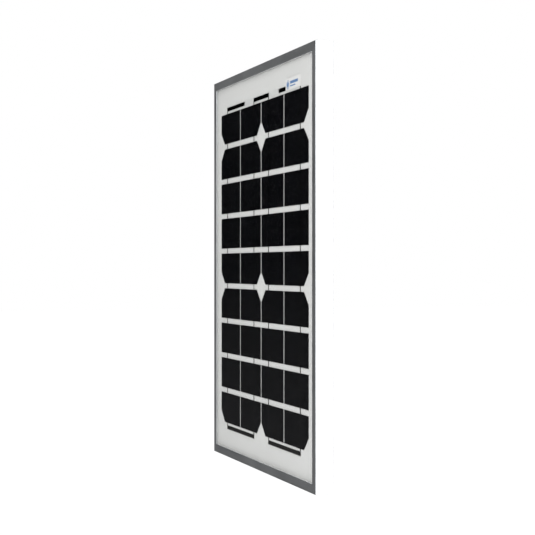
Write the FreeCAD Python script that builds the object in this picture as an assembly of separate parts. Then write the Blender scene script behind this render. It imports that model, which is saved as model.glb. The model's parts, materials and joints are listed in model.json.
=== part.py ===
import FreeCAD, Part
import math
import os

# A small framed solar panel, upright, in millimetres.
# +Z is up, +X is to the right as seen from the front, and the glass faces -Y.
# The origin is the centre of the four mounting holes, on the rear face of the frame (y = 0).

Vector = FreeCAD.Vector
X_AXIS = Vector(1, 0, 0)
Y_AXIS = Vector(0, 1, 0)
Z_AXIS = Vector(0, 0, 1)

# Overall size
PANEL_WIDTH = 374.0
PANEL_HEIGHT = 493.0
FRAME_DEPTH = 21.0

# How far a cutting shape runs past the face that it cuts, and the smallest corner of a drawn-in outline
CUT_MARGIN = 1.0
SMALLEST_CORNER = 1.0

# Frame extrusion
LIP_WIDTH = 10.5
LIP_THICKNESS = 1.0
WALL = 1.5
CHAMBER_WIDTH = 6.0
FLANGE_WIDTH = 20.0
PROFILE_ROUNDING = 0.4
MOUNT_HOLE_RADIUS = 3.5
MOUNT_HOLE_SPACING_X = 346.0
MOUNT_HOLE_SPACING_Z = 250.0
EARTH_HOLE_RADIUS = 2.1
DRAIN_HOLE_RADIUS = 1.6
DRAIN_HOLE_FROM_END = 38.0
KEY_CLEARANCE = 0.15
KEY_LEG = 34.0

# Laminate, listed from the front
GLASS_INSET = 2.5
SEAL_THICKNESS = 0.2
GLASS_THICKNESS = 3.2
FILM_THICKNESS = 0.45
RIBBON_THICKNESS = 0.15
CELL_THICKNESS = 0.2
BACKSHEET_THICKNESS = 0.3
LABEL_THICKNESS = 0.1

# Cells: a 156.75 mm wafer cut two across and four down
CELL_WIDTH = 78.4
CELL_HEIGHT = 39.0
CELL_CORNER = 14.6
COLUMN_GAP = 2.3
ROW_GAP = 6.6
COLUMNS = 4
ROWS = 9
CELLS_PER_WAFER_HEIGHT = 4
ROWS_CUT_FROM_FIRST_WAFER = 1
CELLS_TOP = 200.7

# Ribbons and bus bars
RIBBON_WIDTH = 2.4
RIBBON_FROM_WAFER_EDGE = 26.0
RIBBON_END_SETBACK = 1.0
RIBBON_PAST_CELL = 1.0
BUS_BAR_HEIGHT = 5.0
BUS_BAR_GAP = 3.1
LEAD_BAR_INNER_END = 64.0
LEAD_THICKNESS = 0.2
LEAD_LAP = 4.0
LEAD_CLEARANCE = 0.05
LEAD_FOOT = 8.0
LEAD_SLIT_WIDTH = 2.0
LEAD_SLIT_MARGIN = 1.0

# Front label
FRONT_LABEL_LEFT = 87.0
FRONT_LABEL_RIGHT = 136.2
FRONT_LABEL_BOTTOM = 203.4
FRONT_LABEL_TOP = 216.8
FRONT_LABEL_CORNER = 1.0

# Rating label, on the backsheet
RATING_LABEL_WIDTH = 104.0
RATING_LABEL_HEIGHT = 52.0
RATING_LABEL_CENTRE_Z = -178.0
RATING_LABEL_CORNER = 3.0

# Junction box
BOX_HALF_WIDTH = 46.0
BOX_BOTTOM = 152.0
BOX_TOP = 216.0
BOX_HEIGHT = 11.0
BOX_CORNER = 5.0
BOX_WALL = 2.6
BOX_FLOOR = 2.0
PAD_THICKNESS = 0.9
PAD_INSET = 2.0
WINDOW_HALF_WIDTH = 20.0
WINDOW_BOTTOM = 199.0
WINDOW_TOP = 211.0
GASKET_WIDTH = 1.2
GASKET_DEPTH = 0.8
LID_THICKNESS = 2.0
LID_BORDER_INSET = 2.0
LID_BORDER_HEIGHT = 0.5
LID_BORDER_WIDTH = 3.0
LID_ROUNDING = 0.8
LID_BORDER_ROUNDING = 0.25
LID_RIB_THICKNESS = 1.2
LID_RIB_HEIGHT = 1.4
LID_RIB_CLEARANCE = 0.5
LID_TAB_HALF_WIDTH = 10.0
LID_TAB_REACH = 3.0
LID_TAB_LAP = 1.0
LID_TAB_THICKNESS = 1.4
LID_TAB_ROUNDING = 0.5

# Lid hinge
HINGE_RADIUS = 2.2
HINGE_PIN_RADIUS = 1.0
HINGE_CLEARANCE = 0.05
HINGE_BACK_GAP = 0.2
HINGE_HALF_LENGTH = 30.0
BASE_KNUCKLES = ((-30.0, -18.0), (-6.0, 6.0), (18.0, 30.0))
LID_KNUCKLES = ((-17.7, -6.3), (6.3, 17.7))

# Terminals
TERMINAL_INNER = 17.0
TERMINAL_OUTER = 31.0
TERMINAL_BOTTOM = 168.0
TERMINAL_TOP = 210.0
TERMINAL_THICKNESS = 1.0
POST_INSET = 1.0
LOWER_POST_HALF_HEIGHT = 3.0
UPPER_POST_BELOW_WINDOW = (6.0, 2.0)
SCREW_X = 26.0
SCREW_Z = 172.0
SCREW_RADIUS = 1.5
SCREW_HOLE_RADIUS = 1.56
SCREW_HEAD_RADIUS = 2.8
SCREW_HEAD_HEIGHT = 1.8
SCREW_HEAD_ROUNDING = 0.7
SCREW_SLOT_WIDTH = 0.8
SCREW_SLOT_DEPTH = 1.0
SCREW_SLOT_REACH = 0.65 * SCREW_HEAD_RADIUS
SCREW_PAST_TERMINAL = 2.4
SCREW_POST_CLEARANCE = 0.3
CLAMP_THICKNESS = 0.8
CLAMP_HALF_HEIGHT = 3.5
CLAMP_INNER = 20.0
CLAMP_OUTER = 30.0

# Bypass diode
DIODE_Z = 186.0
DIODE_BODY_RADIUS = 2.4
DIODE_HALF_LENGTH = 4.5
DIODE_LEAD_RADIUS = 0.4
DIODE_LEAD_X = 20.0
DIODE_RISE = 2.5

# Cable and gland
CABLE_X = 22.0
CABLE_RADIUS = 2.1
CONDUCTOR_RADIUS = 0.7
JACKET_BORE_RADIUS = 0.75
JACKET_TOP = 158.0
CONDUCTOR_TOP = 177.0
GLAND_DEPTH = 13.0
SPIGOT_RADIUS = 4.0
SPIGOT_LENGTH = 9.0
SPIGOT_CABLE_CLEARANCE = 0.3
INSERT_RADIUS = 3.0
INSERT_LENGTH = 7.0
INSERT_FLANGE_RADIUS = 3.8
INSERT_FLANGE_THICKNESS = 1.0
INSERT_END_GAP = 0.5
FIT_CLEARANCE = 0.05
NUT_ACROSS_FLATS = 11.0
NUT_THREAD_LENGTH = 7.0
NUT_CAP_LENGTH = 5.0
NUT_MOUTH_RADIUS = 2.6
NUT_CHAMFER = 1.2
NUT_CHAMFER_RISE = 1.92

# Cable run behind the panel: a flat coil on each side
CABLE_HEIGHT = 3.6
CABLE_STRAIGHT_END = 129.0
CABLE_S_BEND_RADIUS = 15.0
COIL_BOTTOM = -90.0
COIL_TOP = 60.0
COIL_END = 52.0
COIL_RADIUS = 31.0
COIL_STEP = 2.5
BARE_LENGTH = 12.0
FERRULE_GAP = 0.5
FERRULE_LENGTH = 11.0
FERRULE_RADIUS = 1.05
FERRULE_MOUTH_RADIUS = 1.5
FERRULE_MOUTH_LENGTH = 1.5

# Cable ties and the adhesive cradles under them
TIE_LEVELS = (-60.0, 35.0)
TIE_WIDTH = 2.6
TIE_THICKNESS = 0.8
TIE_CLEARANCE = 0.05
TUNNEL_CLEARANCE = 0.1
TUNNEL_EXTRA_WIDTH = 0.4
TIE_HEAD_WIDTH = 4.4
TIE_HEAD_HEIGHT = 3.0
TIE_HEAD_ROUNDING = 0.6
TIE_TAIL_LENGTH = 1.4
CRADLE_WIDTH = 18.0
CRADLE_HEIGHT = 12.0
CRADLE_CORNER = 2.0

# Places that follow from the driving dimensions; every y is counted back from the front face
SEAL_FRONT_Y = LIP_THICKNESS - FRAME_DEPTH
GLASS_Y = SEAL_FRONT_Y + SEAL_THICKNESS
FRONT_FILM_Y = GLASS_Y + GLASS_THICKNESS
FRONT_RIBBON_Y = FRONT_FILM_Y + FILM_THICKNESS
CELL_Y = FRONT_RIBBON_Y + RIBBON_THICKNESS
REAR_RIBBON_Y = CELL_Y + CELL_THICKNESS
REAR_FILM_Y = REAR_RIBBON_Y + RIBBON_THICKNESS
BACKSHEET_Y = REAR_FILM_Y + FILM_THICKNESS
LAMINATE_BACK_Y = BACKSHEET_Y + BACKSHEET_THICKNESS
SHELF_Y = LAMINATE_BACK_Y + SEAL_THICKNESS

LAMINATE_HALF_WIDTH = PANEL_WIDTH / 2 - GLASS_INSET
LAMINATE_HALF_HEIGHT = PANEL_HEIGHT / 2 - GLASS_INSET
COLUMN_PITCH = CELL_WIDTH + COLUMN_GAP
ROW_PITCH = CELL_HEIGHT + ROW_GAP
CELLS_LEFT = -(COLUMNS * COLUMN_PITCH - COLUMN_GAP) / 2
CELLS_BOTTOM = CELLS_TOP - ROWS * ROW_PITCH + ROW_GAP
TOP_BAR_Z = CELLS_TOP + BUS_BAR_GAP
BOTTOM_BAR_Z = CELLS_BOTTOM - BUS_BAR_GAP - BUS_BAR_HEIGHT
LEAD_Y = BACKSHEET_Y - LEAD_THICKNESS - LEAD_CLEARANCE

BOX_Y = LAMINATE_BACK_Y + PAD_THICKNESS
BOX_FLOOR_Y = BOX_Y + BOX_FLOOR
BOX_RIM_Y = BOX_Y + BOX_HEIGHT
GLAND_Y = GLAND_DEPTH - FRAME_DEPTH
TERMINAL_Y = GLAND_Y - CONDUCTOR_RADIUS - TERMINAL_THICKNESS
TERMINAL_BACK_Y = TERMINAL_Y + TERMINAL_THICKNESS
CLAMP_Y = GLAND_Y + CONDUCTOR_RADIUS
SCREW_HEAD_Y = CLAMP_Y + CLAMP_THICKNESS
HINGE_Y = BOX_RIM_Y + LID_THICKNESS - HINGE_RADIUS
HINGE_Z = BOX_TOP + HINGE_RADIUS + HINGE_BACK_GAP
SPIGOT_END_Z = BOX_BOTTOM - SPIGOT_LENGTH
CABLE_Y = LAMINATE_BACK_Y + CABLE_HEIGHT


# Plain solids

def block(x_range, y_range, z_range):
    """A box from its three ranges."""
    size = [high - low for low, high in (x_range, y_range, z_range)]
    return Part.makeBox(*size, Vector(x_range[0], y_range[0], z_range[0]))


def slab(outline, y_start, thickness):
    """A plate from (x, z) corner points, with its thickness along Y."""
    points = [Vector(x, y_start, z) for x, z in outline]
    face = Part.Face(Part.makePolygon(points + points[:1]))
    return face.extrude(Y_AXIS * thickness)


def edges_along(shape, axis):
    """The straight edges of a shape that run along an axis."""
    return [e for e in shape.Edges if abs(e.tangentAt(e.FirstParameter).dot(axis)) > 1 - 1e-6]


def edges_at_depth(edges, y):
    """The edges that lie at one depth."""
    return [e for e in edges if e.BoundBox.YMin > y - 0.01 and e.BoundBox.YMax < y + 0.01]


def rounded_slab(x_range, z_range, radius, y_start, thickness):
    """A box whose four edges along Y are rounded."""
    box = block(x_range, (y_start, y_start + thickness), z_range)
    return box.makeFillet(radius, edges_along(box, Y_AXIS))


def rounded_ring(half_width, z_range, radius, inset, ring_width, y_start, thickness):
    """A rounded rectangular ring that starts some way inside the given outline."""
    def plate(offset):
        x_reach = half_width - offset
        z_reach = (z_range[0] + offset, z_range[1] - offset)
        corner = max(radius - offset, SMALLEST_CORNER)
        return rounded_slab((-x_reach, x_reach), z_reach, corner, y_start, thickness)
    return plate(inset).cut(plate(inset + ring_width))


def rod(radius, start, direction, length):
    """A cylinder from its start point."""
    return Part.makeCylinder(radius, length, start, direction)


def mirrored(shape):
    """The same piece on the other side of the panel's centre line."""
    return shape.mirror(Vector(0, 0, 0), X_AXIS)


def to_side(shape, side):
    """A piece that is built on the +X side, placed on side +1 or -1."""
    return shape if side > 0 else mirrored(shape)


# Frame

def rail_section():
    """The rail's cross-section in (y, z), with its outer face on z = 0 and the panel towards +Z."""
    chamber_outer = WALL + CHAMBER_WIDTH + WALL
    flange_y = -WALL
    outline = [
        (-FRAME_DEPTH, 0), (-FRAME_DEPTH, LIP_WIDTH), (SEAL_FRONT_Y, LIP_WIDTH), (SEAL_FRONT_Y, WALL),
        (SHELF_Y, WALL), (SHELF_Y, chamber_outer), (flange_y, chamber_outer), (flange_y, FLANGE_WIDTH),
        (0, FLANGE_WIDTH), (0, 0),
    ]
    chamber = [
        (SHELF_Y + WALL, WALL), (SHELF_Y + WALL, WALL + CHAMBER_WIDTH),
        (-WALL, WALL + CHAMBER_WIDTH), (-WALL, WALL),
    ]
    faces = []
    for ring in (outline, chamber):
        points = [Vector(0, y, z) for y, z in ring]
        faces.append(Part.Face(Part.makePolygon(points + points[:1])))
    return faces[0].cut(faces[1])


def plain_rail(length):
    """A rail along X with both ends mitred at 45 degrees and a drain hole near each end."""
    section = rail_section()
    section.translate(X_AXIS * (-length / 2))
    bar = section.extrude(X_AXIS * length)
    lengthwise = edges_along(bar, X_AXIS)
    exposed = edges_at_depth(lengthwise, -FRAME_DEPTH) + edges_at_depth(lengthwise, 0)
    bar = bar.makeFillet(PROFILE_ROUNDING, exposed)
    half = length / 2
    mitre = slab([(-half, 0), (half, 0), (half - FLANGE_WIDTH, FLANGE_WIDTH),
                  (FLANGE_WIDTH - half, FLANGE_WIDTH)], -FRAME_DEPTH, FRAME_DEPTH)
    rail = bar.common(mitre)
    for end in (-1, 1):
        drain_x = end * (half - DRAIN_HOLE_FROM_END)
        rail = rail.cut(flange_hole(DRAIN_HOLE_RADIUS, drain_x))
    return rail


def flange_hole(radius, along):
    """A drill through the rear flange, at the mounting holes' distance from the outer face."""
    inward = (PANEL_WIDTH - MOUNT_HOLE_SPACING_X) / 2
    return rod(radius, Vector(along, -2 * WALL, inward), Y_AXIS, 3 * WALL)


def place_rail(rail, quarter_turns, distance):
    """Turns a rail about Y and moves it out to its side of the panel."""
    turned = rail.copy()
    turned.rotate(Vector(0, 0, 0), Y_AXIS, 90 * quarter_turns)
    outward = FreeCAD.Rotation(Y_AXIS, 90 * quarter_turns).multVec(Z_AXIS * -distance)
    turned.translate(outward)
    return turned


def frame_rails():
    """The four rails; the long ones carry the mounting and earthing holes."""
    short = plain_rail(PANEL_WIDTH)
    long = plain_rail(PANEL_HEIGHT)
    for end in (-1, 1):
        long = long.cut(flange_hole(MOUNT_HOLE_RADIUS, end * MOUNT_HOLE_SPACING_Z / 2))
    long = long.cut(flange_hole(EARTH_HOLE_RADIUS, 0))
    return {
        "frame_rail_bottom": place_rail(short, 0, PANEL_HEIGHT / 2),
        "frame_rail_top": place_rail(short, 2, PANEL_HEIGHT / 2),
        "frame_rail_left": place_rail(long, 1, PANEL_WIDTH / 2),
        "frame_rail_right": place_rail(long, -1, PANEL_WIDTH / 2),
    }


def corner_key(side, end):
    """The L-shaped key that joins two rails inside their chambers."""
    y_range = (SHELF_Y + WALL + KEY_CLEARANCE, -WALL - KEY_CLEARANCE)
    near = WALL + KEY_CLEARANCE
    far = WALL + CHAMBER_WIDTH - KEY_CLEARANCE
    across = block((near, near + KEY_LEG), y_range, (near, far))
    upright = block((near, far), y_range, (near, near + KEY_LEG))
    key = across.fuse(upright).removeSplitter()
    key.translate(Vector(-PANEL_WIDTH / 2, 0, -PANEL_HEIGHT / 2))
    if side > 0:
        key = mirrored(key)
    if end > 0:
        key = key.mirror(Vector(0, 0, 0), Z_AXIS)
    return key


def corner_keys():
    names = {(-1, 1): "top_left", (1, 1): "top_right", (-1, -1): "bottom_left", (1, -1): "bottom_right"}
    return {"corner_key_" + name: corner_key(side, end) for (side, end), name in names.items()}


def edge_seal():
    """The sealant that fills the rails' groove round the laminate's edge."""
    def plate(inset, y_range):
        x_reach = PANEL_WIDTH / 2 - inset
        z_reach = PANEL_HEIGHT / 2 - inset
        return block((-x_reach, x_reach), y_range, (-z_reach, z_reach))
    groove = plate(WALL, (SEAL_FRONT_Y, SHELF_Y))
    opening = plate(2 * WALL + CHAMBER_WIDTH, (SEAL_FRONT_Y, SHELF_Y))
    laminate = plate(GLASS_INSET, (GLASS_Y, LAMINATE_BACK_Y))
    return groove.cut(opening).cut(laminate)


# Laminate

def laminate_sheet(y_start, thickness):
    """A sheet the full size of the laminate."""
    return block((-LAMINATE_HALF_WIDTH, LAMINATE_HALF_WIDTH), (y_start, y_start + thickness),
                 (-LAMINATE_HALF_HEIGHT, LAMINATE_HALF_HEIGHT))


def lead_zone(x_range, y_range):
    """The space that an output lead needs: a little taller than the top bus bars."""
    z_range = (TOP_BAR_Z - LEAD_SLIT_MARGIN, TOP_BAR_Z + BUS_BAR_HEIGHT + LEAD_SLIT_MARGIN)
    return block(x_range, y_range, z_range)


def lead_channel(y_range):
    """The slit behind the top bus bars where the output leads run."""
    reach = LEAD_BAR_INNER_END + LEAD_LAP + LEAD_SLIT_MARGIN
    return lead_zone((-reach, reach), y_range)


def front_label():
    return rounded_slab((FRONT_LABEL_LEFT, FRONT_LABEL_RIGHT), (FRONT_LABEL_BOTTOM, FRONT_LABEL_TOP),
                        FRONT_LABEL_CORNER, FRONT_FILM_Y, LABEL_THICKNESS)


def encapsulant_front():
    """The front film, with a pocket for the label that is sealed in under the glass."""
    return laminate_sheet(FRONT_FILM_Y, FILM_THICKNESS).cut(front_label())


def encapsulant_rear():
    return laminate_sheet(REAR_FILM_Y, FILM_THICKNESS).cut(lead_channel((REAR_FILM_Y, BACKSHEET_Y)))


def backsheet():
    """The white rear sheet, with two slits for the output leads."""
    sheet = laminate_sheet(BACKSHEET_Y, BACKSHEET_THICKNESS)
    for side in (-1, 1):
        slit = lead_zone((TERMINAL_INNER - LEAD_SLIT_WIDTH, TERMINAL_INNER), (BACKSHEET_Y, LAMINATE_BACK_Y))
        sheet = sheet.cut(to_side(slit, side))
    return sheet


def wafer_on_left(column):
    """True where a column is the left half of its wafers, so that its corners are cut on the left."""
    return column % 2 == 0


def cell(column, row):
    """A cut cell, with the wafer's sloping corner where it holds one."""
    left = CELLS_LEFT + column * COLUMN_PITCH
    top = CELLS_TOP - row * ROW_PITCH
    place_in_wafer = (row - ROWS_CUT_FROM_FIRST_WAFER) % CELLS_PER_WAFER_HEIGHT
    cut_top = CELL_CORNER if place_in_wafer == 0 else 0
    cut_bottom = CELL_CORNER if place_in_wafer == CELLS_PER_WAFER_HEIGHT - 1 else 0
    # in order from the wafer's outer top corner, with "out" counted from the wafer's outer side
    outline = [(CELL_WIDTH, 0), (cut_top, 0)]
    if cut_top:
        outline.append((0, -cut_top))
    outline.append((0, cut_bottom - CELL_HEIGHT))
    if cut_bottom:
        outline.append((cut_bottom, -CELL_HEIGHT))
    outline.append((CELL_WIDTH, -CELL_HEIGHT))
    if wafer_on_left(column):
        corners = [(left + out, top + down) for out, down in outline]
    else:
        corners = [(left + CELL_WIDTH - out, top + down) for out, down in outline]
    return slab(corners, CELL_Y, CELL_THICKNESS)


def cell_string(column):
    return Part.makeCompound([cell(column, row) for row in range(ROWS)])


def ribbon_x(column):
    """The centre line of a column's ribbon."""
    left = CELLS_LEFT + column * COLUMN_PITCH
    if wafer_on_left(column):
        return left + RIBBON_FROM_WAFER_EDGE
    return left + CELL_WIDTH - RIBBON_FROM_WAFER_EDGE


def strip_along_z(column, path):
    """A ribbon that follows (y, z) points down the column; each point is the strip's front face."""
    back = [(y + RIBBON_THICKNESS, z) for y, z in reversed(path)]
    x_start = ribbon_x(column) - RIBBON_WIDTH / 2
    points = [Vector(x_start, y, z) for y, z in path + back]
    return Part.Face(Part.makePolygon(points + points[:1])).extrude(X_AXIS * RIBBON_WIDTH)


def link_ribbon(column, row):
    """Joins a cell to the next one down, crossing between front and back in the gap."""
    top = CELLS_TOP - row * ROW_PITCH
    gap_top = top - CELL_HEIGHT
    gap_bottom = gap_top - ROW_GAP
    upper_end = top - RIBBON_END_SETBACK
    lower_end = gap_bottom - CELL_HEIGHT + RIBBON_END_SETBACK
    # a left column carries its links from back to front on the way down, and a right column the reverse
    upper_y = REAR_RIBBON_Y if wafer_on_left(column) else FRONT_RIBBON_Y
    lower_y = FRONT_RIBBON_Y if wafer_on_left(column) else REAR_RIBBON_Y
    path = [(upper_y, upper_end), (upper_y, gap_top - RIBBON_PAST_CELL),
            (lower_y, gap_bottom + RIBBON_PAST_CELL), (lower_y, lower_end)]
    return strip_along_z(column, path)


def end_ribbon(column, at_top):
    """Joins the first or last cell of a column to its bus bar."""
    on_front = wafer_on_left(column) == at_top
    y = FRONT_RIBBON_Y if on_front else REAR_RIBBON_Y
    if at_top:
        ends = (TOP_BAR_Z + BUS_BAR_HEIGHT, CELLS_TOP - CELL_HEIGHT + RIBBON_END_SETBACK)
    else:
        ends = (CELLS_BOTTOM + CELL_HEIGHT - RIBBON_END_SETBACK, BOTTOM_BAR_Z)
    return strip_along_z(column, [(y, ends[0]), (y, ends[1])])


def string_ribbons(column):
    links = [link_ribbon(column, row) for row in range(ROWS - 1)]
    return Part.makeCompound([end_ribbon(column, True)] + links + [end_ribbon(column, False)])


def bus_bar(x_range, z_start):
    return block(x_range, (CELL_Y, REAR_RIBBON_Y), (z_start, z_start + BUS_BAR_HEIGHT))


def bus_bars():
    """Three bars above the cells and two below join the four columns in one series string."""
    edge = RIBBON_WIDTH / 2
    outer = ribbon_x(COLUMNS - 1) + edge
    inner_far = ribbon_x(COLUMNS // 2) + edge
    inner_near = ribbon_x(COLUMNS // 2) - edge
    return {
        "bus_bar_minus": bus_bar((-outer, -LEAD_BAR_INNER_END), TOP_BAR_Z),
        "bus_bar_plus": bus_bar((LEAD_BAR_INNER_END, outer), TOP_BAR_Z),
        "bus_bar_top_link": bus_bar((-inner_far, inner_far), TOP_BAR_Z),
        "bus_bar_bottom_left_link": bus_bar((-outer, -inner_near), BOTTOM_BAR_Z),
        "bus_bar_bottom_right_link": bus_bar((inner_near, outer), BOTTOM_BAR_Z),
    }


def lead_insulation_strip():
    """Keeps the output leads off the bus bar that they pass behind."""
    reach = LEAD_BAR_INNER_END - 2 * LEAD_SLIT_MARGIN
    return lead_zone((-reach, reach), (REAR_FILM_Y, REAR_FILM_Y + RIBBON_THICKNESS))


def output_lead(side):
    """From a bus bar's inner end, behind the string, out through the slit and onto the terminal."""
    z_range = (TOP_BAR_Z, TOP_BAR_Z + BUS_BAR_HEIGHT)
    far = LEAD_BAR_INNER_END + LEAD_LAP
    turn = TERMINAL_INNER - LEAD_SLIT_WIDTH / 2
    lap = block((LEAD_BAR_INNER_END, far), (REAR_RIBBON_Y, LEAD_Y + LEAD_THICKNESS), z_range)
    run = block((turn, far), (LEAD_Y, LEAD_Y + LEAD_THICKNESS), z_range)
    riser = block((turn, turn + LEAD_THICKNESS), (LEAD_Y, TERMINAL_BACK_Y + LEAD_THICKNESS), z_range)
    foot = block((turn, turn + LEAD_FOOT), (TERMINAL_BACK_Y, TERMINAL_BACK_Y + LEAD_THICKNESS), z_range)
    lead = lap.fuse([run, riser, foot]).removeSplitter()
    return to_side(lead, side)


def rating_label():
    half_width = RATING_LABEL_WIDTH / 2
    half_height = RATING_LABEL_HEIGHT / 2
    z_range = (RATING_LABEL_CENTRE_Z - half_height, RATING_LABEL_CENTRE_Z + half_height)
    return rounded_slab((-half_width, half_width), z_range, RATING_LABEL_CORNER, LAMINATE_BACK_Y,
                        LABEL_THICKNESS)


# Junction box

def window(y_range):
    """The opening that lets the output leads into the box."""
    return block((-WINDOW_HALF_WIDTH, WINDOW_HALF_WIDTH), y_range, (WINDOW_BOTTOM, WINDOW_TOP))


def jbox_adhesive():
    reach = BOX_HALF_WIDTH - PAD_INSET
    pad = rounded_slab((-reach, reach), (BOX_BOTTOM + PAD_INSET, BOX_TOP - PAD_INSET),
                       BOX_CORNER - PAD_INSET, LAMINATE_BACK_Y, PAD_THICKNESS)
    return pad.cut(window((LAMINATE_BACK_Y, BOX_Y)))


def box_plate(inset, y_start, thickness):
    """The box's rounded outline, drawn in by an inset."""
    reach = BOX_HALF_WIDTH - inset
    corner = max(BOX_CORNER - inset, SMALLEST_CORNER)
    return rounded_slab((-reach, reach), (BOX_BOTTOM + inset, BOX_TOP - inset), corner, y_start, thickness)


def box_ring(inset, width, y_start, thickness):
    return rounded_ring(BOX_HALF_WIDTH, (BOX_BOTTOM, BOX_TOP), BOX_CORNER, inset, width, y_start, thickness)


def gasket_ring():
    inset = (BOX_WALL - GASKET_WIDTH) / 2
    return box_ring(inset, GASKET_WIDTH, BOX_RIM_Y - GASKET_DEPTH, GASKET_DEPTH)


def terminal_post(z_range):
    """A moulded block under the terminal, on the +X side."""
    x_range = (TERMINAL_INNER + POST_INSET, TERMINAL_OUTER - POST_INSET)
    return block(x_range, (BOX_FLOOR_Y, TERMINAL_Y), z_range)


def screw_drill(radius):
    """A hole along the terminal screw's axis, on the +X side, that stops in the box's floor."""
    return rod(radius, Vector(SCREW_X, BOX_FLOOR_Y, SCREW_Z), Y_AXIS, FRAME_DEPTH)


def gland_spigot():
    return rod(SPIGOT_RADIUS, Vector(CABLE_X, GLAND_Y, SPIGOT_END_Z), Z_AXIS, SPIGOT_LENGTH + BOX_WALL / 2)


def gland_bore():
    """The seat for the rubber insert, and the cable's way through the wall above it."""
    mouth = Vector(CABLE_X, GLAND_Y, SPIGOT_END_Z)
    seat = rod(INSERT_RADIUS + FIT_CLEARANCE, mouth, Z_AXIS, INSERT_LENGTH + INSERT_END_GAP)
    way_through = rod(CABLE_RADIUS + SPIGOT_CABLE_CLEARANCE, mouth, Z_AXIS,
                      SPIGOT_LENGTH + BOX_WALL + CUT_MARGIN)
    return seat.fuse(way_through)


def knuckle(x_range, y_range):
    """A hinge knuckle with the web that ties it to the box or the lid; y_range is the web's."""
    length = x_range[1] - x_range[0]
    barrel = rod(HINGE_RADIUS, Vector(x_range[0], HINGE_Y, HINGE_Z), X_AXIS, length)
    web = block(x_range, y_range, (BOX_TOP, HINGE_Z))
    return barrel.fuse(web)


def pin_drill(radius):
    reach = HINGE_HALF_LENGTH + CUT_MARGIN
    return rod(radius, Vector(-reach, HINGE_Y, HINGE_Z), X_AXIS, 2 * reach)


def jbox_base():
    """Tray with posts for the terminals, two gland spigots and three hinge knuckles."""
    tray = box_plate(0, BOX_Y, BOX_HEIGHT)
    tray = tray.cut(box_plate(BOX_WALL, BOX_FLOOR_Y, BOX_HEIGHT))
    lower_post = (SCREW_Z - LOWER_POST_HALF_HEIGHT, SCREW_Z + LOWER_POST_HALF_HEIGHT)
    upper_post = tuple(WINDOW_BOTTOM - down for down in UPPER_POST_BELOW_WINDOW)
    additions = []
    for side in (-1, 1):
        for z_range in (lower_post, upper_post):
            additions.append(to_side(terminal_post(z_range), side))
        additions.append(to_side(gland_spigot(), side))
    for x_range in BASE_KNUCKLES:
        additions.append(knuckle(x_range, (HINGE_Y - HINGE_RADIUS, HINGE_Y)))
    tray = tray.fuse(additions)
    removals = [window((BOX_Y, BOX_FLOOR_Y)), gasket_ring(), pin_drill(HINGE_PIN_RADIUS)]
    for side in (-1, 1):
        removals.append(to_side(screw_drill(SCREW_RADIUS + SCREW_POST_CLEARANCE), side))
        removals.append(to_side(gland_bore(), side))
    return tray.cut(removals).removeSplitter()


def jbox_lid():
    """Lid with a raised border, a locating rib, a finger tab and two hinge knuckles."""
    lid = box_plate(0, BOX_RIM_Y, LID_THICKNESS)
    outer_y = BOX_RIM_Y + LID_THICKNESS
    lid = lid.makeFillet(LID_ROUNDING, edges_at_depth(lid.Edges, outer_y))
    border = box_ring(LID_BORDER_INSET, LID_BORDER_WIDTH, outer_y, LID_BORDER_HEIGHT)
    border = border.makeFillet(LID_BORDER_ROUNDING, edges_at_depth(border.Edges, outer_y + LID_BORDER_HEIGHT))
    rib = box_ring(BOX_WALL + LID_RIB_CLEARANCE, LID_RIB_THICKNESS,
                   BOX_RIM_Y - LID_RIB_HEIGHT, LID_RIB_HEIGHT)
    tab = block((-LID_TAB_HALF_WIDTH, LID_TAB_HALF_WIDTH), (outer_y - LID_TAB_THICKNESS, outer_y),
                (BOX_BOTTOM - LID_TAB_REACH, BOX_BOTTOM + LID_TAB_LAP))
    free_edges = [e for e in edges_along(tab, X_AXIS) if e.BoundBox.ZMax < BOX_BOTTOM]
    tab = tab.makeFillet(LID_TAB_ROUNDING, free_edges)
    knuckles = [knuckle(x_range, (HINGE_Y, outer_y)) for x_range in LID_KNUCKLES]
    heels = [block(x_range, (BOX_RIM_Y, outer_y), (BOX_TOP - LID_ROUNDING, BOX_TOP))
             for x_range in LID_KNUCKLES]
    lid = lid.fuse([border, rib, tab] + knuckles + heels)
    return lid.cut(pin_drill(HINGE_PIN_RADIUS + HINGE_CLEARANCE)).removeSplitter()


def lid_hinge_pin():
    start = Vector(-HINGE_HALF_LENGTH, HINGE_Y, HINGE_Z)
    return rod(HINGE_PIN_RADIUS, start, X_AXIS, 2 * HINGE_HALF_LENGTH)


def terminal(side):
    plate = block((TERMINAL_INNER, TERMINAL_OUTER), (TERMINAL_Y, TERMINAL_BACK_Y),
                  (TERMINAL_BOTTOM, TERMINAL_TOP))
    return to_side(plate.cut(screw_drill(SCREW_HOLE_RADIUS)), side)


def clamp_plate(side):
    plate = block((CLAMP_INNER, CLAMP_OUTER), (CLAMP_Y, SCREW_HEAD_Y),
                  (SCREW_Z - CLAMP_HALF_HEIGHT, SCREW_Z + CLAMP_HALF_HEIGHT))
    return to_side(plate.cut(screw_drill(SCREW_HOLE_RADIUS)), side)


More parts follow.
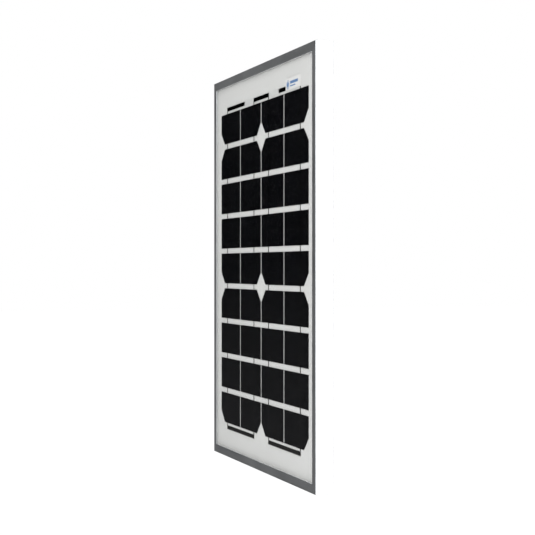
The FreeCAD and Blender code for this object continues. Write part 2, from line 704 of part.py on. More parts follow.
def terminal_screw(side):
    """Pan-head screw with a cross recess, its head on the clamp plate."""
    tip_y = TERMINAL_Y - SCREW_PAST_TERMINAL + TERMINAL_THICKNESS
    shank = rod(SCREW_RADIUS, Vector(SCREW_X, tip_y, SCREW_Z), Y_AXIS, SCREW_HEAD_Y - tip_y)
    head = rod(SCREW_HEAD_RADIUS, Vector(SCREW_X, SCREW_HEAD_Y, SCREW_Z), Y_AXIS, SCREW_HEAD_HEIGHT)
    head_top = SCREW_HEAD_Y + SCREW_HEAD_HEIGHT
    rim = [e for e in head.Edges if e.BoundBox.YMin > head_top - 0.01]
    head = head.makeFillet(SCREW_HEAD_ROUNDING, rim)
    slot_y = (head_top - SCREW_SLOT_DEPTH, head_top)
    half_slot = SCREW_SLOT_WIDTH / 2
    across = (SCREW_X - SCREW_SLOT_REACH, SCREW_X + SCREW_SLOT_REACH)
    along = (SCREW_Z - SCREW_SLOT_REACH, SCREW_Z + SCREW_SLOT_REACH)
    wide = block(across, slot_y, (SCREW_Z - half_slot, SCREW_Z + half_slot))
    tall = block((SCREW_X - half_slot, SCREW_X + half_slot), slot_y, along)
    return to_side(shank.fuse(head).cut(wide).cut(tall), side)


def bypass_diode():
    """An axial diode whose bent leads stand on the two terminals."""
    axis_y = TERMINAL_BACK_Y + DIODE_RISE
    body = rod(DIODE_BODY_RADIUS, Vector(-DIODE_HALF_LENGTH, axis_y, DIODE_Z), X_AXIS, 2 * DIODE_HALF_LENGTH)
    lead = rod(DIODE_LEAD_RADIUS, Vector(-DIODE_LEAD_X, axis_y, DIODE_Z), X_AXIS, 2 * DIODE_LEAD_X)
    diode = body.fuse(lead)
    for side in (-1, 1):
        foot = Vector(side * DIODE_LEAD_X, TERMINAL_BACK_Y, DIODE_Z)
        leg = rod(DIODE_LEAD_RADIUS, foot, Y_AXIS, DIODE_RISE)
        elbow = Part.makeSphere(DIODE_LEAD_RADIUS, Vector(side * DIODE_LEAD_X, axis_y, DIODE_Z))
        diode = diode.fuse([leg, elbow])
    return diode.removeSplitter()


# Cable glands

def gland_insert(side):
    """The rubber bush that the nut squeezes onto the cable."""
    mouth = Vector(CABLE_X, GLAND_Y, SPIGOT_END_Z)
    bush = rod(INSERT_RADIUS, mouth, Z_AXIS, INSERT_LENGTH)
    flange_start = mouth - Z_AXIS * INSERT_FLANGE_THICKNESS
    flange = rod(INSERT_FLANGE_RADIUS, flange_start, Z_AXIS, INSERT_FLANGE_THICKNESS)
    bore = rod(CABLE_RADIUS + FIT_CLEARANCE, flange_start, Z_AXIS,
               INSERT_LENGTH + 2 * CUT_MARGIN)
    return to_side(bush.fuse(flange).cut(bore), side)


def gland_nut(side):
    """The six-sided compression nut, with its thread bore above and its narrow mouth below."""
    shoulder_z = SPIGOT_END_Z - INSERT_FLANGE_THICKNESS
    bottom_z = shoulder_z - NUT_CAP_LENGTH
    length = NUT_THREAD_LENGTH + NUT_CAP_LENGTH
    corner_radius = NUT_ACROSS_FLATS / math.sqrt(3)
    points = []
    for corner in range(6):
        angle = math.radians(60 * corner)
        points.append(Vector(CABLE_X + corner_radius * math.cos(angle),
                             GLAND_Y + corner_radius * math.sin(angle), bottom_z))
    hexagon = Part.Face(Part.makePolygon(points + points[:1])).extrude(Z_AXIS * length)
    # a turned envelope takes the sharp corners off the lower end
    taper = Part.makeCone(corner_radius - NUT_CHAMFER, corner_radius, NUT_CHAMFER_RISE,
                          Vector(CABLE_X, GLAND_Y, bottom_z), Z_AXIS)
    above_taper = Vector(CABLE_X, GLAND_Y, bottom_z + NUT_CHAMFER_RISE)
    envelope = taper.fuse(rod(corner_radius, above_taper, Z_AXIS, length - NUT_CHAMFER_RISE))
    thread_bore = rod(SPIGOT_RADIUS + FIT_CLEARANCE, Vector(CABLE_X, GLAND_Y, shoulder_z), Z_AXIS,
                      NUT_THREAD_LENGTH)
    mouth = rod(NUT_MOUTH_RADIUS, Vector(CABLE_X, GLAND_Y, bottom_z), Z_AXIS, length)
    return to_side(hexagon.common(envelope).cut([thread_bore, mouth]), side)


# Cables

def straight(point, heading, length):
    """A straight stretch of a path: its edge, its end point and the heading there."""
    end = point + heading * length
    return Part.makeLine(point, end), end, heading


def bend(point, heading, turn_axis, radius, degrees):
    """A round stretch of a path, turning the heading about an axis."""
    direction = 1 if degrees > 0 else -1
    centre = point + turn_axis.cross(heading) * (radius * direction)
    half_turn = FreeCAD.Rotation(turn_axis, degrees / 2)
    full_turn = FreeCAD.Rotation(turn_axis, degrees)
    middle = centre + half_turn.multVec(point - centre)
    end = centre + full_turn.multVec(point - centre)
    return Part.Arc(point, middle, end).toShape(), end, full_turn.multVec(heading)


def cable_path(top, tail):
    """The +X cable's centre line, from inside the box to the free end plus a tail."""
    point = Vector(CABLE_X, GLAND_Y, top)
    heading = Z_AXIS * -1
    edges = []

    def add(step):
        nonlocal point, heading
        edge, point, heading = step
        edges.append(edge)

    add(straight(point, heading, top - CABLE_STRAIGHT_END))
    drop = GLAND_Y - CABLE_Y
    lean = math.degrees(math.acos(1 - drop / (2 * CABLE_S_BEND_RADIUS)))
    add(bend(point, heading, X_AXIS, CABLE_S_BEND_RADIUS, -lean))
    add(bend(point, heading, X_AXIS, CABLE_S_BEND_RADIUS, lean))
    # point the heading exactly down again, so that the coil stays flat
    point = Vector(CABLE_X, CABLE_Y, point.z)
    heading = Z_AXIS * -1
    add(straight(point, heading, point.z - COIL_BOTTOM))
    levels = (COIL_TOP, COIL_BOTTOM, COIL_END)
    for turn, level in enumerate(levels):
        add(bend(point, heading, Y_AXIS * -1, COIL_RADIUS - turn * COIL_STEP, 180))
        heading = Z_AXIS * (1 if turn % 2 == 0 else -1)
        extra = tail if turn == len(levels) - 1 else 0
        add(straight(point, heading, abs(level - point.z) + extra))
    return Part.Wire(edges)


def swept_rod(path, radius):
    """A round bar along a path."""
    start = path.Edges[0].valueAt(path.Edges[0].FirstParameter)
    circle = Part.Wire(Part.makeCircle(radius, start, Z_AXIS))
    return path.makePipeShell([circle], True, False)


def cable_jacket(side):
    path = cable_path(JACKET_TOP, 0)
    return to_side(swept_rod(path, CABLE_RADIUS).cut(swept_rod(path, JACKET_BORE_RADIUS)), side)


def cable_conductor(side):
    return to_side(swept_rod(cable_path(CONDUCTOR_TOP, BARE_LENGTH), CONDUCTOR_RADIUS), side)


def strand_x(turn):
    """The x of the cable's successive straight stretches on the +X side."""
    x = CABLE_X
    for earlier in range(turn):
        direction = 1 if earlier % 2 == 0 else -1
        x += direction * 2 * (COIL_RADIUS - earlier * COIL_STEP)
    return x


def wire_ferrule(side):
    """A crimped sleeve with a flared mouth on the bare end of a conductor."""
    start = Vector(strand_x(3), CABLE_Y, COIL_END + FERRULE_GAP)
    sleeve = rod(FERRULE_RADIUS, start, Z_AXIS, FERRULE_LENGTH)
    mouth = Part.makeCone(FERRULE_MOUTH_RADIUS, FERRULE_RADIUS, FERRULE_MOUTH_LENGTH, start, Z_AXIS)
    bore = rod(CONDUCTOR_RADIUS, start, Z_AXIS, FERRULE_LENGTH)
    return to_side(sleeve.fuse(mouth).cut(bore), side)


def bundle_centres():
    """The x of the middle of each pair of strands on the +X side."""
    return ((strand_x(0) + strand_x(2)) / 2, (strand_x(1) + strand_x(3)) / 2)


def bundle_outline(centre_x, level, offset, width):
    """A solid with flat sides and round ends that encloses a pair of strands."""
    reach = COIL_STEP + CABLE_RADIUS + offset
    half = CABLE_RADIUS + offset
    box = block((centre_x - reach, centre_x + reach), (CABLE_Y - half, CABLE_Y + half),
                (level - width / 2, level + width / 2))
    return box.makeFillet(half - 0.01, edges_along(box, Z_AXIS))


def cable_tie(centre_x, level):
    """A strap round a pair of strands, with its head on top and its cut end standing out of the head."""
    loop = bundle_outline(centre_x, level, TIE_CLEARANCE + TIE_THICKNESS, TIE_WIDTH)
    head_y = CABLE_Y + CABLE_RADIUS
    head_x = centre_x - TIE_HEAD_WIDTH / 2
    half_head = TIE_HEAD_WIDTH / 2
    head = block((head_x, head_x + TIE_HEAD_WIDTH), (head_y, head_y + TIE_HEAD_HEIGHT),
                 (level - half_head, level + half_head))
    head_top = edges_at_depth(head.Edges, head_y + TIE_HEAD_HEIGHT)
    head = head.makeFillet(TIE_HEAD_ROUNDING, head_top + edges_along(head, Y_AXIS))
    tail_x = centre_x + TIE_THICKNESS / 2
    tail = block((tail_x, tail_x + TIE_THICKNESS),
                 (head_y + TIE_HEAD_HEIGHT / 2, head_y + TIE_HEAD_HEIGHT + TIE_TAIL_LENGTH),
                 (level - TIE_WIDTH / 2, level + TIE_WIDTH / 2))
    hole = bundle_outline(centre_x, level, TIE_CLEARANCE, TIE_HEAD_WIDTH + CUT_MARGIN)
    return loop.fuse([head, tail]).cut(hole).removeSplitter()


def cradle(centre_x, level):
    """An adhesive block under a pair of strands, with a tunnel for the tie."""
    half_width = CRADLE_WIDTH / 2
    half_height = CRADLE_HEIGHT / 2
    body = rounded_slab((centre_x - half_width, centre_x + half_width),
                        (level - half_height, level + half_height), CRADLE_CORNER,
                        LAMINATE_BACK_Y, CABLE_HEIGHT)
    trough = bundle_outline(centre_x, level, TIE_CLEARANCE, CRADLE_HEIGHT + 2 * CUT_MARGIN)
    tunnel = bundle_outline(centre_x, level, TUNNEL_CLEARANCE + TIE_THICKNESS, TIE_WIDTH + TUNNEL_EXTRA_WIDTH)
    return body.cut([trough, tunnel])


def at_each_bundle(make_piece):
    """One piece at each pair of strands, on both sides."""
    pieces = []
    for side in (-1, 1):
        for centre_x in bundle_centres():
            for level in TIE_LEVELS:
                pieces.append(to_side(make_piece(centre_x, level), side))
    return Part.makeCompound(pieces)


def all_nodes():
    """Every node's shape, by name."""
    nodes = {}
    nodes.update(frame_rails())
    nodes.update(corner_keys())
    nodes["edge_seal"] = edge_seal()
    nodes["front_glass"] = laminate_sheet(GLASS_Y, GLASS_THICKNESS)
    nodes["front_label"] = front_label()
    nodes["encapsulant_front"] = encapsulant_front()
    for column in range(COLUMNS):
        nodes["cell_string_%d" % (column + 1)] = cell_string(column)
        nodes["string_ribbons_%d" % (column + 1)] = string_ribbons(column)
    nodes.update(bus_bars())
    nodes["lead_insulation_strip"] = lead_insulation_strip()
    nodes["encapsulant_rear"] = encapsulant_rear()
    nodes["backsheet"] = backsheet()
    nodes["rating_label"] = rating_label()
    nodes["jbox_adhesive"] = jbox_adhesive()
    nodes["jbox_base"] = jbox_base()
    nodes["jbox_gasket"] = gasket_ring()
    nodes["jbox_lid"] = jbox_lid()
    nodes["lid_hinge_pin"] = lid_hinge_pin()
    nodes["bypass_diode"] = bypass_diode()
    two_sided = {
        "output_lead": output_lead, "terminal": terminal, "clamp_plate": clamp_plate,
        "terminal_screw": terminal_screw, "gland_insert": gland_insert, "gland_nut": gland_nut,
        "cable_jacket": cable_jacket, "cable_conductor": cable_conductor,
    }
    for name, make_piece in two_sided.items():
        nodes[name + "_plus"] = make_piece(1)
        nodes[name + "_minus"] = make_piece(-1)
    nodes["wire_ferrules"] = Part.makeCompound([wire_ferrule(1), wire_ferrule(-1)])
    nodes["cable_ties"] = at_each_bundle(cable_tie)
    nodes["cable_cradles"] = at_each_bundle(cradle)
    return nodes


os.makedirs("parts", exist_ok=True)
for node_name, shape in all_nodes().items():
    shape.exportStep("parts/%s.step" % node_name)
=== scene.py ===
import json
import math

import bpy
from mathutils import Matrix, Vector, noise


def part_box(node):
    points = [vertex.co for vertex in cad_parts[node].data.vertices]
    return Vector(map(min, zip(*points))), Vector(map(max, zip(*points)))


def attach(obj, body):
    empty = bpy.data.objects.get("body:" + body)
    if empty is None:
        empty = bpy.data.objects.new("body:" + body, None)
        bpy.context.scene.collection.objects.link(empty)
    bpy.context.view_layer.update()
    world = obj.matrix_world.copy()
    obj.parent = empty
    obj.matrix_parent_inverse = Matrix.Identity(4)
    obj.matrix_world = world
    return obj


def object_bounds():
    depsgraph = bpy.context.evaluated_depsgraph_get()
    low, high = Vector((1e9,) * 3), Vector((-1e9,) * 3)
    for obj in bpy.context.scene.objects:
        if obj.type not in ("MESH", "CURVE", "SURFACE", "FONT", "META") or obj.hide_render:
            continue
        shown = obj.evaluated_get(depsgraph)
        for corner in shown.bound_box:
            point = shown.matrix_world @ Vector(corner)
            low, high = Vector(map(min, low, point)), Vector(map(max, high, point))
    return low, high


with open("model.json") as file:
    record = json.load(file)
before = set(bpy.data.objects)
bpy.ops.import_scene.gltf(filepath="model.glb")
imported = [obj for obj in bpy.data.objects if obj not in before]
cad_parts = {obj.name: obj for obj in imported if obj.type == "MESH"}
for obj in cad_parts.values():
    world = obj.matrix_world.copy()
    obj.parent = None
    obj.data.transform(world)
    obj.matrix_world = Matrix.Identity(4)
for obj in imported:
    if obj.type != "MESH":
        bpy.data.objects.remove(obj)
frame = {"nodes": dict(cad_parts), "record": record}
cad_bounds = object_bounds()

# The looks of a small framed solar panel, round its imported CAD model.
# Shapes and patterns are in millimetres, in the CAD model's own frame, and MM turns them into metres. The
# floor, the lamps and the camera are placed in metres.
# +Z is up, +X is to the right as seen from the front, and the glass faces -Y.

MM = 0.001


def box_mm(node):
    """A node's lowest and highest corners, in millimetres."""
    return [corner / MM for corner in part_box(node)]


def mid_height(node):
    """The z halfway up a node, in millimetres."""
    low, high = box_mm(node)
    return (low.z + high.z) / 2


# Cell layout: the middle columns part at x = 0
ROWS = 9
CELL_HEIGHT = 39.0
LEFT_STRING = box_mm("cell_string_1")
COLUMN_PITCH = box_mm("cell_string_2")[0].x - LEFT_STRING[0].x
ROW_PITCH = (LEFT_STRING[1].z - LEFT_STRING[0].z - CELL_HEIGHT) / (ROWS - 1)
ROW_GAP = ROW_PITCH - CELL_HEIGHT
TOP_GAP_MIDDLE = LEFT_STRING[1].z + ROW_GAP / 2
FINGER_PITCH = 1.95
FINGER_WIDTH = 0.04

# The frame: its mitres lie where |x| - |z| is this much
MITRE_OFFSET = (cad_bounds[1].x - (cad_bounds[1].z - cad_bounds[0].z) / 2) / MM
MITRE_LINE_HALF_WIDTH = 0.06

# Faces of the laminate, and how deep a point may lie and still count as on them
GLASS_FRONT = box_mm("front_glass")[0].y
GLASS_FRONT_DEPTH = 0.1
BACKSHEET_REAR = box_mm("backsheet")[1].y
BACKSHEET_REAR_DEPTH = 0.05

# The cells press the backsheet out behind them: where that starts and ends, from the middle of a gap
PRESSED_FROM_COLUMN_GAP = (1.0, 2.4)
PRESSED_FROM_ROW_GAP = (2.8, 4.4)
PRESSED_FADE = 1.0

# Prints on the front label, from its lower left corner. A softness is the width of a print's blurred edge.
SUN_CENTRE = (7.5, 6.3)
SUN_RADIUS = 3.2
SUN_SOFTNESS = 0.3
SUN_RING_RADIUS = 4.7
SUN_RING_HALF_WIDTH = 0.3
SUN_RING_SOFTNESS = 0.15
BAR_END_SOFTNESS = 0.2
# A bar's x, z, half width, half height and the softness of its long edges
LABEL_BARS = [(27.5, 8.0, 12.5, 1.5, 0.3), (23.5, 4.0, 8.5, 0.6, 0.2)]

# The blank table on the rating label, from its middle
TABLE_HALF_WIDTH = 48.0
TABLE_HALF_HEIGHT = 22.0
TABLE_BORDER = 0.3
TABLE_ROW = 5.5
TABLE_ROW_LINE = (0.07, 0.12)
TABLE_COLUMN_X = -6.0
TABLE_COLUMN_HALF_WIDTH = 0.1
TABLE_HEAD_Z = 11.0
TABLE_SOFTNESS = 0.05

# The bypass diode's body, and the pale band at its cathode end
DIODE_HALF_LENGTH = 4.5
DIODE_BAND_X = 2.9
DIODE_BAND_HALF_WIDTH = 0.6

# Finishing of CAD nodes: the edges that are rounded, by radius, and the bonded layers
SOFT_EDGES = {
    0.22: ["cable_cradles", "gland_nut_plus", "gland_nut_minus"],
    0.12: ["terminal_plus", "terminal_minus", "clamp_plate_plus", "clamp_plate_minus"],
}
FLAT_WITHIN_DEGREES = 0.5
SHARP_FROM_DEGREES = 40
BONDED_LAYERS = ["encapsulant_front", "encapsulant_rear"]
LAYER_GAP = 0.02

# Silicone beads. Unevenness and flatness are shares of the radius.
BEAD_SIDES = 12
BEAD_FLATNESS = 0.85
BEAD_WAVE = 9.0
CORNER_STEPS = 6
BOX_EDGE_PAST_PAD = 2.0
BOX_CORNER = 5.0
BOX_BEAD = {"radius": 1.4, "unevenness": 0.45}
BOX_BEAD_GAP = 0.3
BOX_BEAD_SPACING = 1.5
RAIL_TUBE_WIDTH = 9.0
RAIL_BEAD = {"radius": 0.9, "unevenness": 0.5}
RAIL_BEAD_GAP = 0.2
RAIL_BEAD_CORNER = 1.2
RAIL_BEAD_SPACING = 3.0

# Solder drops: x, radius along x, radius along z, height
LEAD_SOLDER = (23.4, 1.7, 2.8, 0.75)
DIODE_SOLDER = (20.0, 1.5, 1.5, 0.8)
SOLDER_WOBBLE = 0.12
DOME_RINGS = 5
DOME_SIDES = 16

# Raised marks on the lid. Each step up a bar's side is its rise and its inset.
LID_BORDER_HEIGHT = 0.5
BAR_STEPS = ((-0.1, 0.0), (0.22, 0.0), (0.35, 0.12))
SQUARE = ((-1, -1), (1, -1), (1, 1), (-1, 1))
SIGN_X = 32.0
SIGN_ABOVE_EDGE = 14.0
SIGN_REACH = 2.6
SIGN_STROKE = 0.55
RIDGES = 3
RIDGE_PITCH = 0.8
RIDGE_ABOVE_EDGE = 0.9
RIDGE_HALF_WIDTH = 7.0
RIDGE_HALF_HEIGHT = 0.22

# The floor: its reach is in metres
FLOOR_REACH = 6.0
FLOOR_CLEARANCE = 0.2
FLOOR_GLOW = 1.06
FLOOR_GLOW_SHARE = 0.93

# Camera: its lens in millimetres, its azimuth in degrees and its distance in metres
CAMERA_LENS = 90.4
CAMERA_AZIMUTH = 70.68
CAMERA_DISTANCE = 1.634

# The studio: dark where the glass mirrors it to the camera, and bright where the right side wall does
DARK_SIDE = (-0.848, -0.530, 0.0)
BRIGHT_SIDE = (0.944, 0.337, 0.0)
AHEAD = (0.0, -1.0, 0.0)
SIDE_LEVEL = 0.55
OVERHEAD_LEVEL = 0.95
BRIGHT_LEVEL = 2.7
AHEAD_SHARE = 0.5
DARK_LEVEL_BELOW = 0.05


class Nodes:
    """A node tree with short calls for what the materials below are made of."""

    def __init__(self, tree):
        self.tree = tree
        tree.nodes.clear()
        self.place = None

    def add(self, kind, inputs=None, **settings):
        """A node with its settings, and its inputs by name or number: a value, or a socket to link."""
        made = self.tree.nodes.new("ShaderNode" + kind)
        for key, value in settings.items():
            setattr(made, key, value)
        for key, value in (inputs or {}).items():
            if isinstance(value, bpy.types.NodeSocket):
                self.tree.links.new(value, made.inputs[key])
            else:
                made.inputs[key].default_value = value
        return made

    def millimetres(self):
        """The shaded point in the CAD frame."""
        if self.place is None:
            point = self.add("TexCoord").outputs["Object"]
            scaled = self.add("VectorMath", {0: point, "Scale": 1 / MM}, operation="SCALE")
            self.place = scaled.outputs[0]
        return self.place

    def coordinate(self, axis):
        return self.add("SeparateXYZ", {0: self.millimetres()}).outputs[axis]

    def noise(self, size, stretch=(1, 1, 1), detail=3.0):
        """Noise from 0 to 1 whose blotches are about size mm, drawn out along the axes by stretch."""
        scale = [1 / (size * s) for s in stretch]
        point = self.add("VectorMath", {0: self.millimetres(), 1: scale}, operation="MULTIPLY")
        return self.add("TexNoise", {"Vector": point.outputs[0], "Scale": 1.0, "Detail": detail}).outputs[0]

    def maths(self, operation, first, second=0.0):
        return self.add("Math", {0: first, 1: second}, operation=operation).outputs[0]

    def remap(self, value, source, target, smooth=False):
        """Value taken from one range to another, and held at its ends."""
        kind = "SMOOTHSTEP" if smooth else "LINEAR"
        inputs = {0: value, 1: source[0], 2: source[1], 3: target[0], 4: target[1]}
        return self.add("MapRange", inputs, interpolation_type=kind).outputs[0]

    def blend(self, share, first, second):
        """A colour between two others. Inputs 6 and 7 are the node's colours."""
        return self.add("Mix", {0: share, 6: first, 7: second}, data_type="RGBA").outputs[2]

    def bump(self, height, depth, under=None):
        """The surface normal over a height from 0 to 1 that stands for depth mm."""
        inputs = {"Height": height, "Distance": depth * MM, "Strength": 1.0}
        if under is not None:
            inputs["Normal"] = under
        return self.add("Bump", inputs).outputs[0]

    def band(self, value, centre, half_width, soft):
        """1 where value is within half_width of centre, falling to 0 over soft."""
        away = self.maths("ABSOLUTE", self.maths("SUBTRACT", value, centre))
        return self.remap(away, (half_width, half_width + soft), (1, 0))

    def both(self, first, second):
        return self.maths("MULTIPLY", first, second)

    def either(self, first, second):
        return self.maths("MAXIMUM", first, second)

    def output(self, shader, kind="OutputMaterial"):
        self.add(kind, {"Surface": shader})


def grey(level, warmth=0.0):
    """A near-neutral colour, warmer or cooler by a small amount."""
    return (level * (1 + warmth), level, level * (1 - warmth), 1)


def material(name):
    made = bpy.data.materials.new(name)
    made.use_nodes = True
    return made, Nodes(made.node_tree)


def finish_material(nodes, made, **inputs):
    """Puts a Principled shader on the material, with its inputs named with underscores for spaces."""
    named = {key.replace("_", " "): value for key, value in inputs.items()}
    nodes.output(nodes.add("BsdfPrincipled", named).outputs[0])
    return made


# Materials, one for each slot of the record


def anodised_frame(axis):
    """Natural anodised aluminium, with fine die lines along the rail."""
    made, n = material("anodised_frame_" + "xyz"[axis])
    along = [1, 1, 1]
    along[axis] = 400
    lines = n.noise(0.5, along, 4)
    speckle = n.noise(0.22, detail=2)
    smudge = n.noise(38, detail=5)
    colour = n.blend(n.remap(smudge, (0.35, 0.7), (0, 1)), grey(0.80, -0.025), grey(0.75, -0.02))
    across, up = [n.maths("ABSOLUTE", n.coordinate(i)) for i in (0, 2)]
    from_diagonal = n.maths("SUBTRACT", across, up)
    mitre_line = n.band(from_diagonal, MITRE_OFFSET, MITRE_LINE_HALF_WIDTH, MITRE_LINE_HALF_WIDTH)
    colour = n.blend(mitre_line, colour, grey(0.1))
    rough = n.maths("ADD", n.remap(smudge, (0.3, 0.7), (0.40, 0.48)),
                    n.remap(lines, (0.3, 0.7), (-0.04, 0.04)))
    normal = n.bump(speckle, 0.004, n.bump(lines, 0.008))
    return finish_material(n, made, Base_Color=colour, Metallic=1.0, Roughness=rough, Normal=normal)


def cast_key():
    made, n = material("cast_key")
    sand = n.noise(0.5, detail=4)
    colour = n.blend(sand, grey(0.42), grey(0.55))
    return finish_material(n, made, Base_Color=colour, Metallic=1.0, Roughness=0.55,
                           Normal=n.bump(sand, 0.05))


def silicone_seal():
    """Cured white silicone: glossy, with slow waves from the nozzle."""
    made, n = material("silicone_seal")
    waves = n.noise(7, detail=2)
    colour = n.blend(n.noise(20), grey(0.66, 0.01), grey(0.72, 0.015))
    return finish_material(n, made, Base_Color=colour, Roughness=n.remap(waves, (0.3, 0.7), (0.28, 0.42)),
                           Normal=n.bump(waves, 0.25))


def see_through(name, tint, shine):
    """A clear layer that only tints what is behind it, by an amount that drifts a little."""
    made, n = material(name)
    colour = n.blend(n.noise(30), tint, grey(shine))
    n.output(n.add("BsdfTransparent", {0: colour}).outputs[0])
    return made


def solar_glass():
    """Low-iron glass. Its front face mirrors and bends what is seen, and doesn't mirror from inside. Shadow
    and diffuse rays, and all that meets the bonded rear face, go straight through."""
    made, n = material("solar_glass")
    rolled = n.noise(4.5, detail=2)
    smear = n.noise(55, detail=4)
    rough = n.remap(smear, (0.4, 0.75), (0.008, 0.02))
    inputs = {"Color": (0.993, 0.996, 0.994, 1), "Roughness": rough, "IOR": 1.5,
              "Normal": n.bump(rolled, 0.001)}
    entering = n.add("BsdfGlass", inputs)
    leaving = n.add("BsdfRefraction", inputs)
    inner_side = n.add("NewGeometry").outputs["Backfacing"]
    glass = n.add("MixShader", {0: inner_side, 1: entering.outputs[0], 2: leaving.outputs[0]})
    clear = n.add("BsdfTransparent", {0: (0.968, 0.971, 0.969, 1)})
    path = n.add("LightPath").outputs
    behind = n.maths("GREATER_THAN", n.coordinate(1), GLASS_FRONT + GLASS_FRONT_DEPTH)
    light_ray = n.either(path["Is Shadow Ray"], path["Is Diffuse Ray"])
    straight = n.either(behind, light_ray)
    n.output(n.add("MixShader", {0: straight, 1: glass.outputs[0], 2: clear.outputs[0]}).outputs[0])
    return made


def silicon_cell():
    """Blue-black silicon with its printed silver fingers, each cell a shade of its own."""
    made, n = material("silicon_cell")
    up = n.maths("SUBTRACT", n.coordinate(2), TOP_GAP_MIDDLE)
    column = n.maths("FLOOR", n.maths("DIVIDE", n.coordinate(0), COLUMN_PITCH))
    row = n.maths("FLOOR", n.maths("DIVIDE", up, ROW_PITCH))
    number = n.add("CombineXYZ", {0: column, 1: row}).outputs[0]
    shade = n.add("TexWhiteNoise", {0: number}, noise_dimensions="2D").outputs[0]
    silicon = n.blend(shade, (0.0024, 0.0025, 0.0033, 1), (0.0031, 0.0032, 0.0044, 1))
    in_row = n.maths("SUBTRACT", up, n.both(row, ROW_PITCH))
    first_finger = (ROW_GAP + FINGER_PITCH) / 2
    away = n.maths("PINGPONG", n.maths("SUBTRACT", in_row, first_finger), FINGER_PITCH / 2)
    finger = n.remap(away, (FINGER_WIDTH / 2, FINGER_WIDTH), (1, 0))
    colour = n.blend(finger, silicon, grey(0.45))
    texture = n.noise(0.15, detail=2)
    return finish_material(n, made, Base_Color=colour, Metallic=finger,
                           Roughness=n.remap(texture, (0.3, 0.7), (0.2, 0.26)), Specular_IOR_Level=0.2,
                           Normal=n.bump(texture, 0.004))


def tinned_ribbon():
    """Solder-coated copper strip, a little wavy where the solder froze."""
    made, n = material("tinned_ribbon")
    pool = n.noise(2.6, (1, 1, 2.5), 3)
    flux = n.noise(14, detail=4)
    colour = n.blend(n.remap(flux, (0.5, 0.75), (0, 1)), grey(0.42, 0.01), grey(0.34, 0.04))
    return finish_material(n, made, Base_Color=colour, Metallic=1.0,
                           Roughness=n.remap(pool, (0.3, 0.7), (0.05, 0.09)), Normal=n.bump(pool, 0.002))


def tinned_copper():
    made, n = material("tinned_copper")
    drawn = n.noise(0.4, (1, 1, 8), 3)
    colour = n.blend(drawn, grey(0.62, 0.02), grey(0.72, 0.03))
    return finish_material(n, made, Base_Color=colour, Metallic=1.0, Roughness=0.28,
                           Normal=n.bump(drawn, 0.02))


def insulation_film():
    made, n = material("insulation_film")
    fibre = n.noise(0.8, (5, 1, 1), 3)
    colour = n.blend(fibre, grey(0.68), grey(0.73))
    return finish_material(n, made, Base_Color=colour, Roughness=0.5, Normal=n.bump(fibre, 0.01))


def backsheet_film():
    """White film with a fine matt grain, pressed softly round the cells behind it."""
    made, n = material("backsheet_film")
    grain = n.noise(0.35, detail=2)
    drift = n.noise(70, detail=3)
    x, z = n.coordinate(0), n.coordinate(2)
    away_from_gaps = (n.maths("PINGPONG", x, COLUMN_PITCH / 2),
                      n.maths("PINGPONG", n.maths("SUBTRACT", z, TOP_GAP_MIDDLE), ROW_PITCH / 2))
    on_column = n.remap(away_from_gaps[0], PRESSED_FROM_COLUMN_GAP, (0, 1), smooth=True)
    on_row = n.remap(away_from_gaps[1], PRESSED_FROM_ROW_GAP, (0, 1), smooth=True)
    among_cells = n.both(n.band(x, 0, -LEFT_STRING[0].x, PRESSED_FADE),
                         n.band(z, mid_height("cell_string_1"), ROWS * ROW_PITCH / 2, PRESSED_FADE))
    on_rear = n.maths("GREATER_THAN", n.coordinate(1), BACKSHEET_REAR - BACKSHEET_REAR_DEPTH)
    pressed = n.both(n.both(on_column, on_row), n.both(among_cells, on_rear))
    colour = n.blend(drift, grey(0.77, 0.004), grey(0.80, 0.002))
    normal = n.bump(grain, 0.012, n.bump(pressed, 0.12))
    return finish_material(n, made, Base_Color=colour, Roughness=n.remap(grain, (0.3, 0.7), (0.4, 0.5)),
                           Normal=normal)


def front_label():
    """Pale label under the glass, with a plain sun disc and plain bars in blue."""
    made, n = material("front_label")
    corner = box_mm("front_label")[0]
    x = n.maths("SUBTRACT", n.coordinate(0), corner.x)
    z = n.maths("SUBTRACT", n.coordinate(2), corner.z)
    fibre = n.noise(0.5, detail=3)
    paper = n.blend(fibre, grey(0.81, 0.012), grey(0.85, 0.01))
    across = n.maths("SUBTRACT", x, SUN_CENTRE[0])
    up = n.maths("SUBTRACT", z, SUN_CENTRE[1])
    away = n.maths("SQRT", n.maths("ADD", n.both(across, across), n.both(up, up)))
    ink = n.either(n.band(away, 0, SUN_RADIUS, SUN_SOFTNESS),
                   n.band(away, SUN_RING_RADIUS, SUN_RING_HALF_WIDTH, SUN_RING_SOFTNESS))
    for bar_x, bar_z, half_width, half_height, softness in LABEL_BARS:
        bar = n.both(n.band(x, bar_x, half_width, BAR_END_SOFTNESS),
                     n.band(z, bar_z, half_height, softness))
        ink = n.either(ink, bar)
    colour = n.blend(ink, paper, (0.13, 0.25, 0.48, 1))
    return finish_material(n, made, Base_Color=colour, Roughness=0.45, Normal=n.bump(fibre, 0.01))


